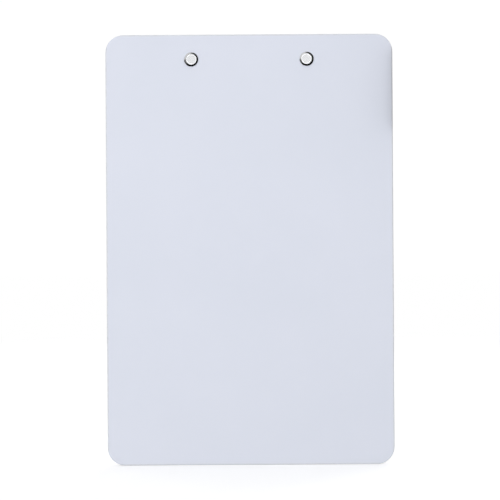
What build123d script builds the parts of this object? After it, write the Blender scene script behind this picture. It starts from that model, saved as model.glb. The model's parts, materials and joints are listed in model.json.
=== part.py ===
"""Memo-size clipboard with a sprung low-profile clip and a pull-out hanging tab.

The board stands upright: X runs across it, +Z runs up it towards the clip, and -Y points out of the
writing face, where the clip is. The origin is the middle of the bottom edge.
The clip is drawn from the foot of its hinge on the writing face, in heights above that face (h) and
distances up the board from the hinge (w).
"""

import os
from math import acos, asin, cos, degrees, hypot, radians, sin, sqrt

from build123d import *

os.makedirs("parts", exist_ok=True)

# ---- Board ---------------------------------------------------------------------------------------
BOARD_WIDTH = 152.4
BOARD_HEIGHT = 228.6
BOARD_THICKNESS = 3.0
BOARD_CORNER = 9.5
BOARD_EDGE_ROUND = 0.5
LAMINATE = 0.2

# ---- Rivets --------------------------------------------------------------------------------------
RIVET_PITCH = 61.3
RIVET_FROM_TOP = 13.2
RIVET_SHANK_R = 2.0
RIVET_HOLE_R = 2.1
RIVET_HEAD_R = 3.75
RIVET_HEAD_HEIGHT = 0.9
RIVET_FLAT_R = 2.0
RIVET_CROWN_R = 2.88  # where the gentle crown turns down into the rim
RIVET_CROWN_DEG = 10.0  # slope of the crown there
RIVET_RIM_DEG = 43.0  # slope of the rim where it meets the head's side
RIVET_TAIL_R = 3.2
RIVET_TAIL_HEIGHT = 1.2
RIVET_BORE_R = 1.3
RIVET_BORE_DEPTH = 3.2

# ---- Clip ----------------------------------------------------------------------------------------
SHEET = 1.0
HINGE_Z = 206.0
HINGE_H = 5.5
PIN_R = 1.25
PIN_HOLE_R = 1.31
PIN_HEAD_R = 2.1
PIN_HEAD_HEIGHT = 0.9
PIN_HEAD_ROUND = 0.63
PIN_HEAD_GAP = 0.05

LEVER_WIDTH = 100.0
LEVER_TOP_H = 9.75  # middle of the sheet over the hinge
LEVER_REAR_W = 19.3
LEVER_REAR_DROP = 1.45
LEVER_REAR_CORNER = 14.0
LEVER_BEND_W = -7.5
LEVER_BEND_R = 15.0
LEVER_EAR_R = 4.0
LEVER_EAR_FRONT = 7.0
LEVER_EAR_REAR = 5.0
LEVER_EDGE_ROUND = 0.35
JAW_BEAD_R = 1.5  # middle of the sheet
JAW_CURL_DEG = 230.0

THUMB_LENGTH = 46.0
THUMB_WIDTH = 10.0
THUMB_W = 9.5
THUMB_DEPTH = 0.45
THUMB_ROUND = 0.35
RIB_COUNT = 7
RIB_PITCH = 5.0
RIB_LENGTH = 6.4
RIB_WIDTH = 1.6

GRIP_WALL = 0.8
GRIP_GAP = 0.15  # between the grips and the board when the clip is shut
GRIP_INNER_X = 41.0
GRIP_OUTER_X = 51.0
GRIP_UP_DEG = 24.0
GRIP_ROUND = 0.4

BASE_HALF_WIDTH = 48.7
BASE_BOTTOM_W = -8.3
BASE_TOP_W = 14.0
BASE_CORNER = 3.0
BASE_EAR_R = 3.1
BASE_EAR_FOOT = 4.6
STOP_HEIGHT = 3.5
STOP_HALF_WIDTH = 45.5
BASE_BEND_ROUND = 0.5

# ---- Hanging tab and its pocket in the base plate ------------------------------------------------
TAB_HALF_WIDTH = 12.8
TAB_LIFT = 0.1  # air under the tab
TAB_BELOW_EDGE = 0.6  # from the board's top edge, when stowed
TAB_CORNER = 8.0
TAB_FOOT_HALF_WIDTH = 15.8
TAB_FOOT_BOTTOM_W = -7.0
TAB_FOOT_LENGTH = 3.5
TAB_HOLE_R = 3.5
TAB_HOLE_FROM_TOP = 8.0
TAB_TRAVEL = 16.0
TAB_END_GAP = 0.3  # between the foot and the pocket's step, pulled right out
PULL_HEIGHT = 3.0
PULL_ROUND = 0.3
POCKET_SIDE_GAP = 0.4
POCKET_HEIGHT = 1.3
POCKET_TOP_W = 16.6
POCKET_CORNER = 0.8
POCKET_ROUND = 0.5

# ---- Torsion springs -----------------------------------------------------------------------------
WIRE_R = 0.6
COIL_R = 2.35  # middle of the wire
COIL_PITCH = 1.32
COIL_FULL_TURNS = 4
COIL_X = 39.0  # middle of the coil
LEG_LENGTH = 10.0
LEG_GAP = 0.06

# ---- Planes --------------------------------------------------------------------------------------
FRONT_Y = -BOARD_THICKNESS / 2
BACK_Y = BOARD_THICKNESS / 2
RIVET_Z = BOARD_HEIGHT - RIVET_FROM_TOP
TAB_TOP_W = BOARD_HEIGHT - TAB_BELOW_EDGE - HINGE_Z
POCKET_STEP_W = TAB_FOOT_BOTTOM_W + TAB_FOOT_LENGTH + TAB_TRAVEL + TAB_END_GAP
SIDES = {"left": -1, "right": 1}  # as the reader sees the writing face

RIVET_PLACES = [(sign * RIVET_PITCH / 2, RIVET_Z - HINGE_Z) for sign in SIDES.values()]

clip_foot = Plane(origin=(0, FRONT_Y, HINGE_Z), x_dir=(1, 0, 0), z_dir=(0, -1, 0))


def side_plane(x):
    """The clip's section at x, drawn as (h, w)."""
    return Plane(origin=(x, FRONT_Y, HINGE_Z), x_dir=(0, -1, 0), z_dir=(-1, 0, 0))


def save(part, label):
    """Writes one finished piece as its own STEP file."""
    part.label = label
    export_step(part, f"parts/{label}.step")


# ---- Board: a fibre core between two white laminates ---------------------------------------------
def board_layer(label, back_y, front_y):
    """The slice of the routed board between two depths."""
    with BuildPart() as layer:
        with BuildSketch(Plane.XZ.offset(-BACK_Y)):
            with Locations((0, BOARD_HEIGHT / 2)):
                RectangleRounded(BOARD_WIDTH, BOARD_HEIGHT, BOARD_CORNER)
        extrude(amount=BOARD_THICKNESS)
        rims = layer.faces().filter_by(Axis.Y).edges()
        fillet(rims, BOARD_EDGE_ROUND)
        with Locations(clip_foot):
            with Locations(*RIVET_PLACES):
                Hole(RIVET_HOLE_R)
        if back_y < BACK_Y:
            split(bisect_by=Plane.XZ.offset(-back_y), keep=Keep.TOP)
        if front_y > FRONT_Y:
            split(bisect_by=Plane.XZ.offset(-front_y), keep=Keep.BOTTOM)
    save(layer.part, label)


board_layer("back_laminate", BACK_Y, BACK_Y - LAMINATE)
board_layer("board_core", BACK_Y - LAMINATE, FRONT_Y + LAMINATE)
board_layer("front_laminate", FRONT_Y + LAMINATE, FRONT_Y)


# ---- Semi-tubular rivets: flat head behind, tail rolled over the base plate ----------------------
def rivet(label, x):
    """One rivet, turned about its own axis through the board."""
    head_top = BACK_Y + RIVET_HEAD_HEIGHT
    crown = radians(RIVET_CROWN_DEG)
    rim = radians(RIVET_RIM_DEG)
    crown_arc_r = (RIVET_CROWN_R - RIVET_FLAT_R) / sin(crown)
    crown_edge = head_top - crown_arc_r * (1 - cos(crown))
    rim_arc_r = (RIVET_HEAD_R - RIVET_CROWN_R) / (sin(rim) - sin(crown))
    rim_edge = crown_edge - rim_arc_r * (cos(crown) - cos(rim))
    seat = FRONT_Y - SHEET
    tail_end = seat - RIVET_TAIL_HEIGHT
    bore_end = tail_end + RIVET_BORE_DEPTH
    roll_r = (RIVET_TAIL_R - RIVET_BORE_R) / 2
    roll_middle = RIVET_BORE_R + roll_r
    with BuildPart() as body:
        with BuildSketch(Plane(origin=(x, 0, RIVET_Z), z_dir=(0, 0, 1))):
            with BuildLine():
                Polyline(
                    (0, bore_end + RIVET_BORE_R / 2),
                    (0, head_top),
                    (RIVET_FLAT_R, head_top),
                )
                RadiusArc((RIVET_FLAT_R, head_top), (RIVET_CROWN_R, crown_edge), crown_arc_r)
                RadiusArc((RIVET_CROWN_R, crown_edge), (RIVET_HEAD_R, rim_edge), rim_arc_r)
                Polyline(
                    (RIVET_HEAD_R, rim_edge),
                    (RIVET_HEAD_R, BACK_Y),
                    (RIVET_SHANK_R, BACK_Y),
                    (RIVET_SHANK_R, seat),
                    (RIVET_TAIL_R, seat),
                    (RIVET_TAIL_R, tail_end + roll_r),
                )
                ThreePointArc(
                    (RIVET_TAIL_R, tail_end + roll_r),
                    (roll_middle, tail_end),
                    (RIVET_BORE_R, tail_end + roll_r),
                )
                Polyline(
                    (RIVET_BORE_R, tail_end + roll_r),
                    (RIVET_BORE_R, bore_end),
                    (0, bore_end + RIVET_BORE_R / 2),
                )
            make_face()
        revolve(axis=Axis((x, 0, RIVET_Z), (0, 1, 0)))
    save(body.part, label)


for side, sign in SIDES.items():
    rivet(f"{side}_rivet", sign * RIVET_PITCH / 2)


# ---- Base plate: riveted foot, hinge ears, paper stop and the hanging tab's pocket ---------------
def pocket_outline(grow):
    """The stepped pocket, wide for the tab's foot and narrow above it, grown by the sheet where asked."""
    wide = TAB_FOOT_HALF_WIDTH + POCKET_SIDE_GAP + grow
    narrow = TAB_HALF_WIDTH + POCKET_SIDE_GAP + grow
    bottom = BASE_BOTTOM_W + SHEET
    step = POCKET_STEP_W + grow
    with Locations((0, (bottom + step) / 2)):
        Rectangle(2 * wide, step - bottom)
    with Locations((0, (bottom + POCKET_TOP_W) / 2)):
        Rectangle(2 * narrow, POCKET_TOP_W - bottom)
    fillet(vertices().group_by(Axis.Y)[1], POCKET_CORNER)


with BuildPart() as base_plate:
    with BuildSketch(clip_foot):
        with Locations((0, (BASE_BOTTOM_W + BASE_TOP_W) / 2)):
            RectangleRounded(2 * BASE_HALF_WIDTH, BASE_TOP_W - BASE_BOTTOM_W, BASE_CORNER)
    extrude(amount=SHEET)
    with BuildSketch(clip_foot):
        with Locations((0, BASE_BOTTOM_W + SHEET / 2)):
            Rectangle(2 * STOP_HALF_WIDTH, SHEET)
    extrude(amount=STOP_HEIGHT)
    for sign in SIDES.values():
        with BuildSketch(side_plane(sign * (BASE_HALF_WIDTH - SHEET / 2))):
            with Locations((HINGE_H, 0)):
                Circle(BASE_EAR_R)
            with BuildLine():
                Polyline(
                    (0, -BASE_EAR_FOOT),
                    (0, BASE_EAR_FOOT),
                    (HINGE_H, BASE_EAR_R),
                    (HINGE_H, -BASE_EAR_R),
                    close=True,
                )
            make_face()
        extrude(amount=SHEET / 2, both=True)
    bends = base_plate.faces().sort_by(Axis.Y)[-1].edges()
    fillet(bends, BASE_BEND_ROUND)
    with BuildSketch(clip_foot):
        pocket_outline(SHEET)
    extrude(amount=POCKET_HEIGHT + SHEET)
    pocket_top = base_plate.faces().filter_by(Axis.Y).sort_by(Axis.Y)[1]
    fillet(pocket_top.edges().sort_by(Axis.Z)[1:], POCKET_ROUND)
    with BuildSketch(clip_foot):
        pocket_outline(0)
    extrude(amount=POCKET_HEIGHT, mode=Mode.SUBTRACT)
    with BuildSketch(side_plane(0)):
        with Locations((HINGE_H, 0)):
            Circle(PIN_HOLE_R)
    extrude(amount=LEVER_WIDTH, both=True, mode=Mode.SUBTRACT)
    with Locations(clip_foot):
        with Locations(*RIVET_PLACES):
            Hole(RIVET_HOLE_R)
save(base_plate.part, "base_plate")

# ---- Hinge pin, headed at both ends --------------------------------------------------------------
with BuildPart() as hinge_pin:
    head_x = LEVER_WIDTH / 2 + PIN_HEAD_GAP
    with BuildSketch(side_plane(0)):
        with Locations((HINGE_H, 0)):
            Circle(PIN_R)
    extrude(amount=head_x, both=True)
    for sign in SIDES.values():
        with BuildSketch(side_plane(sign * (head_x + PIN_HEAD_HEIGHT / 2))):
            with Locations((HINGE_H, 0)):
                Circle(PIN_HEAD_R)
        extrude(amount=PIN_HEAD_HEIGHT / 2, both=True)
    ends = hinge_pin.faces().sort_by(Axis.X)
    fillet(ends[0].edges() + ends[-1].edges(), PIN_HEAD_ROUND)
save(hinge_pin.part, "hinge_pin")

# ---- Lever plate: arched press plate, bent jaw and rolled bead -----------------------------------
bend_centre_h = LEVER_TOP_H - LEVER_BEND_R
bead_h = GRIP_GAP + GRIP_WALL + JAW_BEAD_R + SHEET / 2
bend_deg = degrees(acos((bead_h - bend_centre_h) / (LEVER_BEND_R - JAW_BEAD_R)))
bead_w = LEVER_BEND_W - (LEVER_BEND_R - JAW_BEAD_R) * sin(radians(bend_deg))
press_length = LEVER_REAR_W - LEVER_BEND_W
press_r = (press_length**2 + LEVER_REAR_DROP**2) / (2 * LEVER_REAR_DROP)
press_centre = (LEVER_TOP_H - press_r, LEVER_BEND_W)
press_deg = degrees(asin(press_length / press_r))


def press_h(w):
    """Height of the middle of the press plate's sheet."""
    return press_centre[0] + sqrt(press_r**2 - (w - press_centre[1]) ** 2)


def from_press_axis(edge):
    """Distance of an edge's middle from the axis of the press plate's arch."""
    middle = edge @ 0.5
    h = FRONT_Y - middle.Y
    w = middle.Z - HINGE_Z
    return hypot(h - press_centre[0], w - press_centre[1])


with BuildPart() as thumb_recess:
    with BuildSketch(side_plane(0)):
        with BuildLine():
            CenterArc(press_centre, press_r + SHEET / 2, 0, press_deg)
        trace(line_width=2 * THUMB_DEPTH)
    extrude(amount=THUMB_LENGTH, both=True)
    with BuildSketch(clip_foot):
        with Locations((0, THUMB_W)):
            SlotOverall(THUMB_LENGTH, THUMB_WIDTH)
        with GridLocations(RIB_PITCH, 0, RIB_COUNT, 1):
            with Locations((0, THUMB_W)):
                SlotOverall(RIB_LENGTH, RIB_WIDTH, rotation=90, mode=Mode.SUBTRACT)
    extrude(amount=LEVER_TOP_H + SHEET, mode=Mode.INTERSECT)

with BuildPart() as lever_plate:
    with BuildSketch(side_plane(0)):
        with BuildLine():
            CenterArc(press_centre, press_r, 0, press_deg)
            CenterArc((bend_centre_h, LEVER_BEND_W), LEVER_BEND_R, -bend_deg, bend_deg)
            CenterArc((bead_h, bead_w), JAW_BEAD_R, -bend_deg, -JAW_CURL_DEG)
        trace(line_width=SHEET)
    extrude(amount=LEVER_WIDTH / 2, both=True)
    with BuildSketch(clip_foot):
        rear = LEVER_REAR_W + SHEET
        front = bead_w - JAW_BEAD_R - SHEET
        with Locations((0, (rear + front) / 2)):
            Rectangle(LEVER_WIDTH, rear - front)
        with Locations((0, LEVER_REAR_W - LEVER_REAR_CORNER / 2)):
            Rectangle(LEVER_WIDTH, LEVER_REAR_CORNER)
        fillet(vertices().group_by(Axis.Y)[-1], LEVER_REAR_CORNER)
    extrude(amount=LEVER_TOP_H + SHEET, mode=Mode.INTERSECT)
    side_arcs = lever_plate.faces().filter_by(Axis.X).edges().filter_by(GeomType.CIRCLE)
    corner_arcs = lever_plate.edges().filter_by(GeomType.BSPLINE)
    rear_edges = lever_plate.edges().filter_by(Axis.X).sort_by(Axis.Z)[-2:]
    fillet(side_arcs + corner_arcs + rear_edges, LEVER_EDGE_ROUND)
    for sign in SIDES.values():
        with BuildSketch(side_plane(sign * (LEVER_WIDTH - SHEET) / 2)):
            with Locations((HINGE_H, 0)):
                Circle(LEVER_EAR_R)
            with BuildLine():
                Polyline(
                    (HINGE_H, LEVER_EAR_R),
                    (HINGE_H, -LEVER_EAR_R),
                    (press_h(-LEVER_EAR_FRONT), -LEVER_EAR_FRONT),
                    (press_h(LEVER_EAR_REAR), LEVER_EAR_REAR),
                    close=True,
                )
            make_face()
        extrude(amount=SHEET / 2, both=True)
    with BuildSketch(side_plane(0)):
        with Locations((HINGE_H, 0)):
            Circle(PIN_HOLE_R)
    extrude(amount=LEVER_WIDTH, both=True, mode=Mode.SUBTRACT)
    add(thumb_recess.part, mode=Mode.SUBTRACT)
    skin_r = press_r + SHEET / 2 - THUMB_DEPTH / 4
    mouth_edges = lever_plate.edges(Select.LAST).filter_by(lambda edge: from_press_axis(edge) > skin_r)
    fillet(mouth_edges, THUMB_ROUND)
save(lever_plate.part, "lever_plate")


# ---- Rubber grips over the jaw's two ends --------------------------------------------------------
def jaw_grip(label, sign):
    """A moulded boot round the end of the bead, closed over the sheet's end."""
    middle_x = sign * (GRIP_INNER_X + GRIP_OUTER_X) / 2
    with BuildPart() as boot:
        with BuildSketch(side_plane(middle_x)):
            with BuildLine():
                CenterArc((bend_centre_h, LEVER_BEND_W), LEVER_BEND_R, -bend_deg, GRIP_UP_DEG)
            trace(line_width=SHEET + 2 * GRIP_WALL)
            with Locations((bead_h, bead_w)):
                Circle(JAW_BEAD_R + SHEET / 2 + GRIP_WALL)
        extrude(amount=(GRIP_OUTER_X - GRIP_INNER_X) / 2, both=True)
        fillet(boot.faces().filter_by(Axis.X).edges(), GRIP_ROUND)
        add(lever_plate.part, mode=Mode.SUBTRACT)
    save(boot.part, label)


for side, sign in SIDES.items():
    jaw_grip(f"{side}_jaw_grip", sign)


# ---- Torsion springs -----------------------------------------------------------------------------
base_leg_fall = HINGE_H - COIL_R - (SHEET + LEG_GAP + WIRE_R)
lever_leg_rise = press_h(LEG_LENGTH) - (SHEET / 2 + LEG_GAP + WIRE_R) - (HINGE_H + COIL_R)
base_leg_deg = degrees(asin(base_leg_fall / LEG_LENGTH))
lever_leg_deg = degrees(asin(lever_leg_rise / LEG_LENGTH))
coil_turns = COIL_FULL_TURNS + (180 - base_leg_deg - lever_leg_deg) / 360
coil_length = coil_turns * COIL_PITCH


def torsion_spring(label, sign):
    """A close-wound coil round the pin, one leg on the base plate and one under the press plate."""
    start_deg = 180 + base_leg_deg
    coil_plane = Plane(
        origin=(sign * (COIL_X - coil_length / 2), FRONT_Y - HINGE_H, HINGE_Z),
        x_dir=(0, -cos(radians(start_deg)), sin(radians(start_deg))),
        z_dir=(sign, 0, 0),
    )
    coil = coil_plane * Helix(COIL_PITCH, coil_length, COIL_R, lefthand=sign > 0)
    base_end = Plane(origin=coil @ 0, z_dir=coil % 0)
    lever_end = Plane(origin=coil @ 1, z_dir=coil % 1)
    with BuildPart() as spring:
        with BuildSketch(base_end):
            Circle(WIRE_R)
        sweep(path=coil, is_frenet=True)
        with BuildSketch(base_end):
            Circle(WIRE_R)
        extrude(amount=-LEG_LENGTH)
        with BuildSketch(lever_end):
            Circle(WIRE_R)
        extrude(amount=LEG_LENGTH)
    save(spring.part, label)


for side, sign in SIDES.items():
    torsion_spring(f"{side}_torsion_spring", sign)

# ---- Hanging tab, stowed under the clip ----------------------------------------------------------
with BuildPart() as hanging_tab:
    with BuildSketch(clip_foot.offset(TAB_LIFT)):
        with Locations((0, (TAB_FOOT_BOTTOM_W + TAB_TOP_W) / 2)):
            Rectangle(2 * TAB_HALF_WIDTH, TAB_TOP_W - TAB_FOOT_BOTTOM_W)
        fillet(vertices().group_by(Axis.Y)[-1], TAB_CORNER)
        with Locations((0, TAB_FOOT_BOTTOM_W + TAB_FOOT_LENGTH / 2)):
            RectangleRounded(2 * TAB_FOOT_HALF_WIDTH, TAB_FOOT_LENGTH, POCKET_CORNER)
        with Locations((0, TAB_TOP_W - TAB_HOLE_FROM_TOP)):
            Circle(TAB_HOLE_R, mode=Mode.SUBTRACT)
    extrude(amount=SHEET)
    with BuildSketch(clip_foot.offset(TAB_LIFT)):
        with Locations((0, TAB_TOP_W - SHEET / 2)):
            Rectangle(2 * (TAB_HALF_WIDTH - TAB_CORNER), SHEET)
    extrude(amount=PULL_HEIGHT)
    pull_top = hanging_tab.faces().sort_by(Axis.Y)[0]
    fillet(pull_top.edges(), PULL_ROUND)
save(hanging_tab.part, "hanging_tab")
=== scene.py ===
"""Looks, light and camera for the memo-size clipboard. Lengths are in metres, in the model's own frame.

The board stands upright on a pale floor: X runs across it, +Z up it towards the clip, and the plain
back with its two rivet heads faces +Y, where the camera is.
"""

import json
import math

import bpy
from mathutils import Matrix, Vector


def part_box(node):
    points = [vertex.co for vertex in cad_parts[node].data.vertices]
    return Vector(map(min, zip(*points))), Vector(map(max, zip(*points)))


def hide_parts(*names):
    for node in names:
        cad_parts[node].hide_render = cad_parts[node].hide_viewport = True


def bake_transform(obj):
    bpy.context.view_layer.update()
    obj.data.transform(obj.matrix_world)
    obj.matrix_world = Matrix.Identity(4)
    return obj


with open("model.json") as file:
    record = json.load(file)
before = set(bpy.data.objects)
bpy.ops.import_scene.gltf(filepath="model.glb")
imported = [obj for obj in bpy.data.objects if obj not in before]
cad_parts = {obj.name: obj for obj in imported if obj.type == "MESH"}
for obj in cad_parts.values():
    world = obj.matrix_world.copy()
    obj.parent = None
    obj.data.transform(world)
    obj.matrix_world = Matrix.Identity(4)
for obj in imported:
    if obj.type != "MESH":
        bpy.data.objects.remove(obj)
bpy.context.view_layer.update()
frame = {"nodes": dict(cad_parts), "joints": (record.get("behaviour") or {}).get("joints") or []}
nodes = frame["nodes"]

MM = 0.001
MICRON = 0.000001
board_low, board_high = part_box("board_core")
back_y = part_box("back_laminate")[1].y
board_middle = (board_low + board_high) / 2
hinge = Vector(next(joint["pos_m"] for joint in frame["joints"] if joint["name"] == "lever_hinge"))


def grey(value):
    return (value, value, value, 1.0)


def put(name, data):
    """A new object in the scene."""
    made = bpy.data.objects.new(name, data)
    bpy.context.scene.collection.objects.link(made)
    return made


def put_mesh(name, vertices, faces, material):
    """A new mesh object in the scene, of one material."""
    mesh = bpy.data.meshes.new(name)
    mesh.from_pydata(vertices, [], faces)
    mesh.materials.append(material)
    return put(name, mesh)


# ---- Node helpers --------------------------------------------------------------------------------
class Shader:
    """One material's node tree, with short calls for the nodes used here."""

    def __init__(self, name):
        self.material = bpy.data.materials.new(name)
        self.material.use_nodes = True
        self.tree = self.material.node_tree
        self.bsdf = self.tree.nodes["Principled BSDF"]
        self.place = self.add("ShaderNodeTexCoord").outputs["Object"]

    def add(self, kind, **settings):
        node = self.tree.nodes.new(kind)
        for key, value in settings.items():
            setattr(node, key, value)
        return node

    def wire(self, source, socket):
        """Link an output to the socket, or set a plain value on it."""
        if isinstance(source, bpy.types.NodeSocket):
            self.tree.links.new(source, socket)
        else:
            socket.default_value = source

    def set(self, **values):
        """Principled inputs by name, with _ for a space."""
        for key, value in values.items():
            self.wire(value, self.bsdf.inputs[key.replace("_", " ")])

    def axis(self, name):
        """One coordinate of the object's own place."""
        node = self.add("ShaderNodeSeparateXYZ")
        self.wire(self.place, node.inputs[0])
        return node.outputs[name]

    def stretched(self, scale, turn=(0, 0, 0)):
        """The object's own place, turned and then scaled along each axis."""
        mapping = self.add("ShaderNodeMapping", vector_type="TEXTURE")
        self.wire(self.place, mapping.inputs["Vector"])
        mapping.inputs["Scale"].default_value = [1 / number for number in scale]
        mapping.inputs["Rotation"].default_value = turn
        return mapping.outputs["Vector"]

    def noise(self, scale, detail, rough=0.5, vector=None, distortion=0):
        node = self.add("ShaderNodeTexNoise")
        self.wire(vector or self.place, node.inputs["Vector"])
        node.inputs["Scale"].default_value = scale
        node.inputs["Detail"].default_value = detail
        node.inputs["Roughness"].default_value = rough
        node.inputs["Distortion"].default_value = distortion
        return node.outputs["Fac"]

    def cells(self, scale):
        """Rounded cells, as the distance from each one's middle."""
        node = self.add("ShaderNodeTexVoronoi", feature="SMOOTH_F1")
        self.wire(self.place, node.inputs["Vector"])
        node.inputs["Scale"].default_value = scale
        return node.outputs["Distance"]

    def scratches(self, scale, turn, rarity):
        """Short thin streaks, all roughly along one direction, as a mask from 0 to 1."""
        lengthwise = scale * 0.035  # so a streak is nearly 30 times as long as it is wide
        streaks = self.noise(1.0, 1, 0.4, self.stretched((scale, scale, lengthwise), turn))
        return self.spread(streaks, rarity, rarity + 0.05)

    def spread(self, value, low, high, to_low=0.0, to_high=1.0, smooth=False):
        """A value's range from low to high, stretched over another range and held at its ends."""
        node = self.add("ShaderNodeMapRange", clamp=True)
        if smooth:
            node.interpolation_type = "SMOOTHSTEP"
        self.wire(value, node.inputs["Value"])
        for name, number in zip(("From Min", "From Max", "To Min", "To Max"), (low, high, to_low, to_high)):
            node.inputs[name].default_value = number
        return node.outputs["Result"]

    def math(self, operation, a, b=0.0):
        node = self.add("ShaderNodeMath", operation=operation)
        self.wire(a, node.inputs[0])
        self.wire(b, node.inputs[1])
        return node.outputs["Value"]

    def mix(self, factor, a, b):
        """Colour a where the factor is 0, and colour b where it is 1."""
        node = self.add("ShaderNodeMix", data_type="RGBA")
        self.wire(factor, node.inputs[0])
        self.wire(a, node.inputs[6])
        self.wire(b, node.inputs[7])
        return node.outputs[2]

    def bump(self, height, distance, strength, under=None):
        """Relief in which a height of 1 stands for the distance, over any relief already there."""
        node = self.add("ShaderNodeBump")
        node.inputs["Strength"].default_value = strength
        node.inputs["Distance"].default_value = distance
        self.wire(height, node.inputs["Height"])
        if under:
            self.wire(under, node.inputs["Normal"])
        return node.outputs["Normal"]


# ---- Materials -----------------------------------------------------------------------------------
def laminate():
    """Cool white melamine skin: faint orange peel, soft mottling, hairline scuffs, and painted shade that
    makes it greyer at its edge.
    """
    s = Shader("white_laminate")
    x = s.math("ABSOLUTE", s.axis("X"))
    z = s.axis("Z")
    from_side = s.math("SUBTRACT", board_high.x, x)
    from_end = s.math("MINIMUM", z, s.math("SUBTRACT", board_high.z, z))
    from_edge = s.math("MINIMUM", from_side, from_end)
    rim = s.spread(from_edge, 0.3 * MM, 1.1 * MM, 1.0, 0.0, smooth=True)
    cloud = s.noise(16, 4, 0.55)
    tone = s.mix(s.spread(cloud, 0.35, 0.68), (0.767, 0.803, 0.908, 1), (0.787, 0.82, 0.926, 1))
    fibre = s.spread(s.noise(1400, 2, 0.7), 0.66, 0.8)
    tone = s.mix(s.math("MULTIPLY", fibre, 0.05), tone, (0.62, 0.65, 0.72, 1))
    # Painted shade: darker and greyer within about a millimetre of the outline, broken up by noise.
    painted_edge_shade = s.math("MULTIPLY", rim, s.spread(s.noise(420, 4, 0.6), 0.3, 0.7, 0.35, 0.75))
    tone = s.mix(painted_edge_shade, tone, (0.70, 0.715, 0.735, 1))
    scuff = s.scratches(1500, (0.0, 0.62, 0.0), 0.68)
    scuff = s.math("MULTIPLY", scuff, s.spread(s.noise(22, 2), 0.52, 0.66))
    rough = s.spread(s.noise(9, 3), 0.3, 0.7, 0.27, 0.36)
    rough = s.math("ADD", rough, s.math("MULTIPLY", scuff, 0.12))
    peel = s.bump(s.noise(650, 2, 0.5), 30 * MICRON, 0.35)
    relief = s.bump(scuff, -10 * MICRON, 0.6, under=peel)
    s.set(Base_Color=tone, Roughness=rough, Normal=relief, IOR=1.5)
    return s.material


def board_edge():
    """Sealed white fibreboard seen on the routed edge: pressed layers and short fibres under paint."""
    s = Shader("sealed_board_edge")
    layers = s.noise(1.0, 4, 0.6, s.stretched((60, 5200, 60)))
    fibres = s.noise(900, 4, 0.65)
    tone = s.mix(s.spread(layers, 0.35, 0.68), (0.66, 0.675, 0.69, 1), (0.77, 0.78, 0.79, 1))
    specks = s.spread(s.noise(1900, 2, 0.6), 0.68, 0.78)
    tone = s.mix(s.math("MULTIPLY", specks, 0.4), tone, (0.45, 0.45, 0.44, 1))
    rough = s.spread(fibres, 0.3, 0.7, 0.42, 0.6)
    relief = s.bump(s.math("ADD", layers, fibres), 60 * MICRON, 0.5)
    s.set(Base_Color=tone, Roughness=rough, Normal=relief, IOR=1.47)
    return s.material


def plated(name, tint, rough, grain, grain_depth=4 * MICRON):
    """Bright plated steel: fine rolling grain, the haze of handling, and hairline scratches.

    The grain is its noise's scale along X, Y and Z, and runs along the axis where that is small.
    """
    s = Shader(name)
    grain_lines = s.noise(1.0, 4, 0.6, s.stretched(grain))
    haze = s.noise(48, 4, 0.6, distortion=0.4)
    fine = s.scratches(5200, (0.0, 1.5, 0.0), 0.66)
    coarse = s.scratches(3000, (0.0, 1.75, 0.0), 0.7)
    marks = s.math("MAXIMUM", fine, coarse)
    marks = s.math("MULTIPLY", marks, s.spread(s.noise(60, 2), 0.45, 0.65))
    dull = tuple(channel * 0.9 for channel in tint) + (1,)
    tone = s.mix(s.spread(haze, 0.35, 0.7), tint + (1,), dull)
    tone = s.mix(s.math("MULTIPLY", s.spread(grain_lines, 0.3, 0.7), 0.1), tone, grey(0.98))
    hazed = s.spread(haze, 0.3, 0.72, rough * 0.75, rough * 1.45)
    roughness = s.math("ADD", hazed, s.math("MULTIPLY", marks, 0.15))
    relief = s.bump(grain_lines, grain_depth, 0.5)
    relief = s.bump(marks, -6 * MICRON, 0.5, under=relief)
    s.set(Base_Color=tone, Metallic=1.0, Roughness=roughness, Normal=relief)
    return s.material


def rivet_plate():
    """Polished rivet head: near mirror, with turned rings and small knocks."""
    s = Shader("rivet_nickel")
    low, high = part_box("right_rivet")
    middle = (low + high) / 2
    x = s.math("SUBTRACT", s.math("ABSOLUTE", s.axis("X")), middle.x)
    z = s.math("SUBTRACT", s.axis("Z"), middle.z)
    radius = s.math("SQRT", s.math("ADD", s.math("MULTIPLY", x, x), s.math("MULTIPLY", z, z)))
    wobble = s.math("MULTIPLY", s.noise(300, 2), 0.4 * MM)
    radians_per_metre = 34000.0  # a ring every 0.185 mm
    rings = s.math("SINE", s.math("MULTIPLY", s.math("ADD", radius, wobble), radians_per_metre))
    haze = s.noise(220, 4, 0.6)
    knocks = s.spread(s.noise(1300, 3, 0.6), 0.64, 0.76)
    tone = s.mix(s.spread(haze, 0.35, 0.7), (0.80, 0.81, 0.825, 1), (0.74, 0.75, 0.765, 1))
    tone = s.mix(s.math("MULTIPLY", knocks, 0.25), tone, grey(0.5))
    rough = s.spread(haze, 0.3, 0.7, 0.1, 0.2)
    relief = s.bump(rings, 1.5 * MICRON, 0.4)
    relief = s.bump(knocks, -10 * MICRON, 0.35, under=relief)
    s.set(Base_Color=tone, Metallic=1.0, Roughness=rough, Normal=relief)
    return s.material


def drawn_wire():
    """Oiled spring wire: dark steel with die lines and a little brown bloom."""
    s = Shader("spring_wire")
    lines = s.noise(1.0, 3, 0.6, s.stretched((2600, 500, 500)))
    tone = s.mix(s.spread(lines, 0.3, 0.7), (0.34, 0.335, 0.33, 1), (0.5, 0.49, 0.475, 1))
    bloom = s.spread(s.noise(260, 4, 0.6), 0.5, 0.72)
    tone = s.mix(s.math("MULTIPLY", bloom, 0.35), tone, (0.23, 0.17, 0.12, 1))
    rough = s.spread(lines, 0.3, 0.7, 0.26, 0.42)
    relief = s.bump(lines, 10 * MICRON, 0.5)
    s.set(Base_Color=tone, Metallic=1.0, Roughness=rough, Normal=relief)
    return s.material


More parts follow.
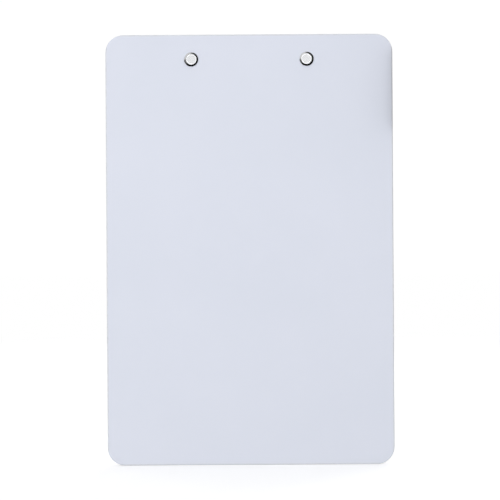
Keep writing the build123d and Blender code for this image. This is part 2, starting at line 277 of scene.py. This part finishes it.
def grip_rubber():
    """Moulded black rubber: fine spark-eroded texture, a faint dusty bloom."""
    s = Shader("grip_rubber")
    tone = s.mix(s.spread(s.noise(700, 3), 0.35, 0.7), (0.014, 0.014, 0.015, 1), (0.026, 0.026, 0.027, 1))
    dust = s.spread(s.noise(160, 4, 0.65), 0.45, 0.75)
    tone = s.mix(s.math("MULTIPLY", dust, 0.14), tone, (0.2, 0.19, 0.18, 1))
    rough = s.spread(dust, 0.0, 1.0, 0.5, 0.68)
    relief = s.bump(s.cells(2300), 50 * MICRON, 0.45)
    s.set(Base_Color=tone, Roughness=rough, Normal=relief, IOR=1.5)
    return s.material


def finish_with(material, *names):
    """Give CAD nodes their material."""
    for name in names:
        mesh = nodes[name].data
        mesh.materials.clear()
        mesh.materials.append(material)


NICKEL = (0.80, 0.795, 0.78)
ZINC = (0.70, 0.72, 0.75)
STEEL = (0.60, 0.60, 0.59)

finish_with(laminate(), "front_laminate", "back_laminate")
finish_with(board_edge(), "board_core")
finish_with(rivet_plate(), "left_rivet", "right_rivet")
finish_with(plated("clip_nickel", NICKEL, 0.13, (24, 900, 900)), "lever_plate")
finish_with(plated("tab_nickel", NICKEL, 0.32, (900, 900, 20)), "hanging_tab")
finish_with(plated("base_zinc", ZINC, 0.42, (30, 700, 700), grain_depth=10 * MICRON), "base_plate")
finish_with(plated("pin_steel", STEEL, 0.24, (1200, 200, 200)), "hinge_pin")
finish_with(grip_rubber(), "left_jaw_grip", "right_jaw_grip")
wire_material = drawn_wire()

# ---- Torsion springs, drawn as wire meshes that stay fixed -----------------------------------------
WIRE_RADIUS = 0.6 * MM
WIRE_CUT = 0.12 * MM  # the broken corner at each cut end
COIL_RADIUS = 2.35 * MM
COIL_PITCH = 1.32 * MM
COIL_X = 39.0 * MM
LEG_LENGTH = 10.0 * MM
BASE_LEG_LEAN = 8.57  # degrees off the board's plane, on the base plate
LEVER_LEG_LEAN = 0.71  # and under the lever
FULL_TURNS = 4
COIL_TURNS = FULL_TURNS + (180 - BASE_LEG_LEAN - LEVER_LEG_LEAN) / 360
STEPS_PER_TURN = 48
STEPS_PER_LEG = 10
RING_POINTS = 20


def spring_line(sign):
    """Middle of the wire from the base plate's leg, round the coil, to the lever's leg."""
    start = math.pi + math.radians(BASE_LEG_LEAN)
    sweep = COIL_TURNS * 2 * math.pi
    coil_length = COIL_TURNS * COIL_PITCH

    def on_coil(share):
        angle = start + share * sweep
        x = sign * (COIL_X + (share - 0.5) * coil_length)
        return hinge + Vector((x, -COIL_RADIUS * math.cos(angle), COIL_RADIUS * math.sin(angle)))

    steps = int(COIL_TURNS * STEPS_PER_TURN)
    coil = [on_coil(i / steps) for i in range(steps + 1)]
    nudge = 1e-4
    out_of_base = (on_coil(0) - on_coil(nudge)).normalized()
    into_lever = (on_coil(1) - on_coil(1 - nudge)).normalized()
    shares = [i / STEPS_PER_LEG for i in range(1, STEPS_PER_LEG + 1)]
    base_leg = [coil[0] + out_of_base * LEG_LENGTH * share for share in reversed(shares)]
    lever_leg = [coil[-1] + into_lever * LEG_LENGTH * share for share in shares]
    return base_leg + coil + lever_leg


def wire_stations(line):
    """Each ring's middle, direction and radius, with the two cut ends slightly broken at the corner."""
    last = len(line) - 1
    tangents = [(line[min(i + 1, last)] - line[max(i - 1, 0)]).normalized() for i in range(last + 1)]
    cut_radius = WIRE_RADIUS - WIRE_CUT
    first_end = [
        (line[0], tangents[0], cut_radius),
        (line[0] + tangents[0] * WIRE_CUT, tangents[0], WIRE_RADIUS),
    ]
    between = [(point, tangent, WIRE_RADIUS) for point, tangent in zip(line[1:-1], tangents[1:-1])]
    last_end = [
        (line[-1] - tangents[-1] * WIRE_CUT, tangents[-1], WIRE_RADIUS),
        (line[-1], tangents[-1], cut_radius),
    ]
    return first_end + between + last_end


def round_wire(name, line):
    """A round wire along a line, closed at both ends."""
    stations = wire_stations(line)
    side = stations[0][1].orthogonal().normalized()
    vertices = []
    for middle, tangent, radius in stations:
        side = (side - tangent * side.dot(tangent)).normalized()
        other = tangent.cross(side)
        for k in range(RING_POINTS):
            angle = 2 * math.pi * k / RING_POINTS
            vertices.append(middle + (side * math.cos(angle) + other * math.sin(angle)) * radius)
    faces = []
    for ring in range(0, len(vertices) - RING_POINTS, RING_POINTS):
        for k in range(RING_POINTS):
            here, beside = ring + k, ring + (k + 1) % RING_POINTS
            faces.append((here, beside, beside + RING_POINTS, here + RING_POINTS))
    faces.append(tuple(reversed(range(RING_POINTS))))
    faces.append(tuple(range(len(vertices) - RING_POINTS, len(vertices))))
    piece = put_mesh(name, vertices, faces, wire_material)
    piece.data.polygons.foreach_set("use_smooth", [len(face) == 4 for face in faces])
    return piece


def wound_spring(side, sign):
    """One spring, whose turns wind up between the board's leg and the lever's."""
    node = f"{side}_torsion_spring"
    piece = round_wire(f"{side}_spring_wire", spring_line(sign))
    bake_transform(piece)
    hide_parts(node)


wound_spring("left", -1)
wound_spring("right", 1)

# ---- Floor, studio light and camera ----------------------------------------------------------------
GROUND_WHITE = 1.02  # the background, as the camera sees it
SOFT_ROOM = 0.42  # how bright the room is to matt surfaces, all round
DARK_ROOM = 0.006  # and to shiny ones, between the bright patches below
PATCHES = (
    # direction, angle to its full brightness, angle to its edge, brightness
    ((0.0, 1.0, 0.14), 14, 18, 1.8),  # panel behind the camera
    ((0.62, 0.42, 0.66), 30, 48, 0.75),  # window, high on the camera's left
    ((0.78, 0.58, -0.22), 8, 28, 0.17),  # dim wall under the window
    ((1.0, -0.4, 0.1), 22, 26, 0.6),  # side walls
    ((-1.0, -0.4, 0.1), 22, 26, 0.6),
    ((0.8, -0.8, -0.15), 34, 46, 0.62),  # pale screens on either side of the clip
    ((-0.8, -0.8, -0.15), 34, 46, 0.62),
    ((0.0, -0.5, -0.87), 22, 31, 0.38),  # floor under the clip
    ((0.62, -0.45, -0.65), 18, 30, 0.38),  # and on either side
    ((-0.62, -0.45, -0.65), 18, 30, 0.38),
    ((0.0, -0.45, 0.9), 14, 48, 1.0),  # ceiling
    ((0.0, -0.87, -0.5), 30, 44, 0.85),  # pale sweep on the clip's side
    ((0.0, -0.95, 0.32), 40, 88, 0.45),  # far wall
)
STAND = ((0.0, 1.0, 0.14), 8, 11, 1.0)  # the camera's stand, duller than the panel behind it


def floor():
    """A wide pale sheet under the board, fading to the white of the background."""
    size = 6.0
    pale_within, white_beyond = 0.25, 1.1
    s = Shader("floor_paper")
    away = s.add("ShaderNodeVectorMath", operation="LENGTH")
    s.wire(s.place, away.inputs[0])
    fade = s.spread(away.outputs["Value"], pale_within, white_beyond, smooth=True)
    tone = s.mix(s.spread(s.noise(35, 4, 0.6), 0.3, 0.7), grey(0.88), grey(0.90))
    s.set(
        Base_Color=s.mix(fade, tone, grey(0.0)),
        Roughness=0.9,
        Specular_IOR_Level=0.0,
        Emission_Color=grey(1.0),
        Emission_Strength=s.spread(fade, 0.0, 1.0, 0.3, 1.0),
    )
    corners = [(-size, -size, 0), (size, -size, 0), (size, size, 0), (-size, size, 0)]
    sheet = put_mesh("floor", corners, [(0, 1, 2, 3)], s.material)
    sheet.visible_glossy = False
    sheet.visible_diffuse = False


def surroundings():
    """White to the camera, an even pale room to matt surfaces, dark with bright patches to shiny ones."""
    world = bpy.data.worlds.new("studio")
    world.use_nodes = True
    bpy.context.scene.world = world
    tree = world.node_tree
    tree.nodes.clear()

    def node(kind, *inputs, **settings):
        made = tree.nodes.new(kind)
        for key, value in settings.items():
            setattr(made, key, value)
        for socket, value in zip(made.inputs, inputs):
            if isinstance(value, bpy.types.NodeSocket):
                tree.links.new(value, socket)
            else:
                socket.default_value = value
        return made

    towards = node("ShaderNodeTexCoord").outputs["Generated"]

    def patch(direction, full, edge, inside, outside):
        aim = Vector(direction).normalized()
        along = node("ShaderNodeVectorMath", towards, aim, operation="DOT_PRODUCT").outputs["Value"]
        low, high = math.cos(math.radians(edge)), math.cos(math.radians(full))
        ramp = node("ShaderNodeMapRange", along, low, high, outside, inside, interpolation_type="SMOOTHSTEP")
        return ramp.outputs["Result"]

    gloss = DARK_ROOM
    for direction, full, edge, level in PATCHES:
        lit = patch(direction, full, edge, level, 0.0)
        gloss = node("ShaderNodeMath", gloss, lit, operation="MAXIMUM").outputs["Value"]
    brightest = max(level for *_, level in PATCHES)
    shade = patch(*STAND, brightest)
    gloss = node("ShaderNodeMath", gloss, shade, operation="MINIMUM").outputs["Value"]
    seen_by = node("ShaderNodeLightPath").outputs
    shiny = node("ShaderNodeBackground", grey(1.0), gloss)
    matt = node("ShaderNodeBackground", grey(1.0), SOFT_ROOM)
    white = node("ShaderNodeBackground", grey(1.0), GROUND_WHITE)
    light = node("ShaderNodeMixShader", seen_by["Is Diffuse Ray"], shiny.outputs[0], matt.outputs[0])
    every = node("ShaderNodeMixShader", seen_by["Is Camera Ray"], light.outputs[0], white.outputs[0])
    node("ShaderNodeOutputWorld", every.outputs[0])


def softbox(name, place, target, width, height, power):
    """A wide soft lamp. Shiny surfaces mirror the bright patches round the room in its stead."""
    light = bpy.data.lights.new(name, "AREA")
    light.shape = "RECTANGLE"
    light.size = width
    light.size_y = height
    light.energy = power
    lamp = put(name, light)
    lamp.location = place
    lamp.rotation_mode = "QUATERNION"
    lamp.rotation_quaternion = (Vector(target) - Vector(place)).to_track_quat("-Z", "Y")
    lamp.visible_camera = False
    lamp.visible_glossy = False


def studio():
    """The lamps: two for the back, one overhead and three for the clip's side."""
    aim = board_middle
    softbox("panel_behind_camera", (0.0, 2.6, 0.1), aim, 2.6, 2.6, 33)
    softbox("key_left", (0.9, 0.9, 0.35), aim, 0.7, 0.7, 3.4)
    softbox("overhead", (0.0, 0.0, 1.8), (0, 0, 0), 1.6, 1.6, 8)
    softbox("clip_side_panel", (0.0, -2.6, 0.1), aim, 2.6, 2.6, 18)
    softbox("clip_side_key", (-0.7, -1.4, 0.9), aim, 1.3, 1.0, 9)
    softbox("clip_side_fill", (1.1, -1.2, 0.4), aim, 0.4, 1.0, 3)


def flag():
    """A small dark card just off one side of the back, which shades the face beside it a little."""
    x = board_low.x - 2 * MM
    near, far = back_y + 1.3 * MM, back_y + 13 * MM
    low, high = board_high.z - 50 * MM, board_high.z - 8 * MM
    s = Shader("flag_card")
    s.set(Base_Color=grey(0.02), Roughness=0.9, Specular_IOR_Level=0.0)
    corners = [(x, near, low), (x, near, high), (x, far, high), (x, far, low)]
    card = put_mesh("flag", corners, [(0, 1, 2, 3)], s.material)
    card.visible_camera = False
    card.visible_glossy = False


def camera():
    """On a long lens, square on to the back, turned so that the picture leans a hair anticlockwise."""
    lens = 100.0
    sensor = 36.0
    picture_width = 0.2654  # in the plane of the back
    below_middle = 0.2 * MM
    lean = math.radians(0.35)
    distance = picture_width * lens / sensor
    data = bpy.data.cameras.new("camera")
    data.lens = lens
    data.sensor_width = sensor
    data.clip_start = 0.01
    data.clip_end = 50
    shooter = put("camera", data)
    place = Vector((board_middle.x, back_y + distance, board_middle.z - below_middle))
    turn = Vector((0, -1, 0)).to_track_quat("-Z", "Y").to_matrix().to_4x4()
    shooter.matrix_world = Matrix.Translation(place) @ turn @ Matrix.Rotation(-lean, 4, "Z")
    bpy.context.scene.camera = shooter


floor()
surroundings()
studio()
flag()
camera()
bpy.context.scene.view_settings.view_transform = "Standard"
